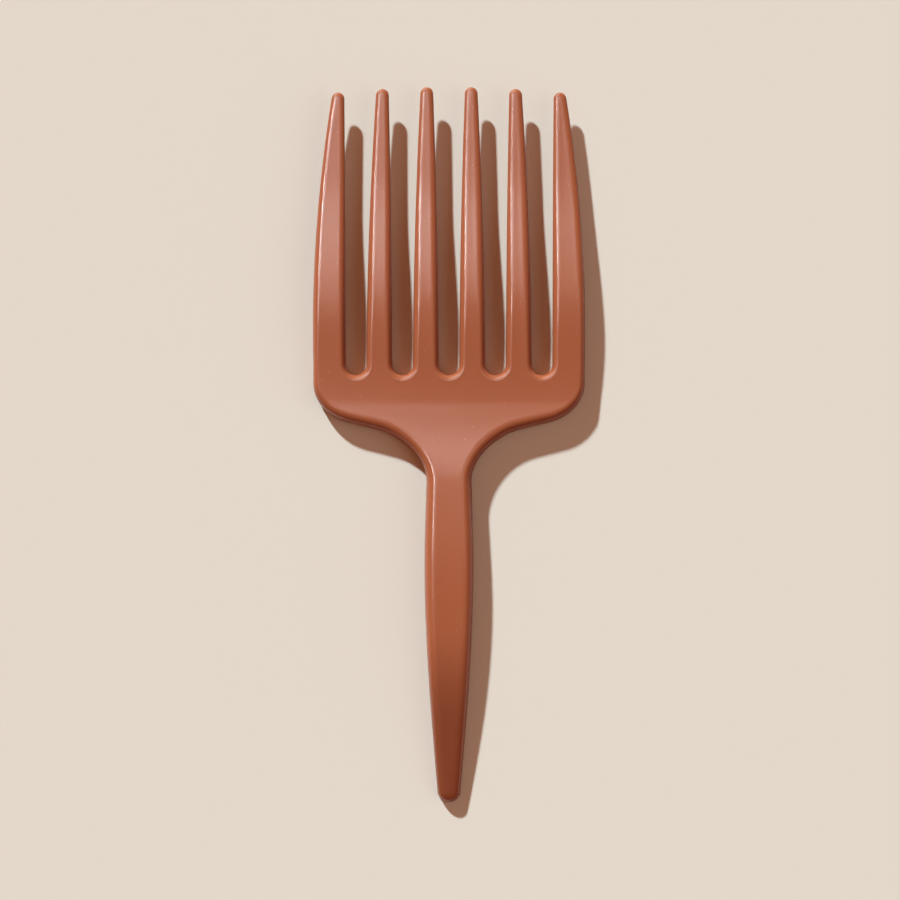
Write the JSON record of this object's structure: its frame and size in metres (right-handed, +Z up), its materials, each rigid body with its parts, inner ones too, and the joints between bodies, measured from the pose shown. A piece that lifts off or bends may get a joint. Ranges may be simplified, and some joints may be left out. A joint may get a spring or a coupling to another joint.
{
  "type": "afro pick",
  "caption": "Wide-toothed hair pick with long round-tipped tines on a flared head and a tapering straight handle.",
  "frame": {"origin": "middle of the overall length and width, on the plane that the back rests on", "axes": "+Y from the handle to the tine tips, +X to the right seen from the show face, +Z up out of the show face"},
  "size_m": [0.0762, 0.2, 0.0064],
  "materials": {
    "terracotta_plastic": "satin"
  },
  "bodies": {
    "root": {"tine_1": "terracotta_plastic", "tine_2": "terracotta_plastic", "tine_3": "terracotta_plastic", "tine_4": "terracotta_plastic", "tine_5": "terracotta_plastic", "tine_6": "terracotta_plastic", "head_bar": "terracotta_plastic", "shoulders": "terracotta_plastic", "handle": "terracotta_plastic"}
  },
  "joints": []
}
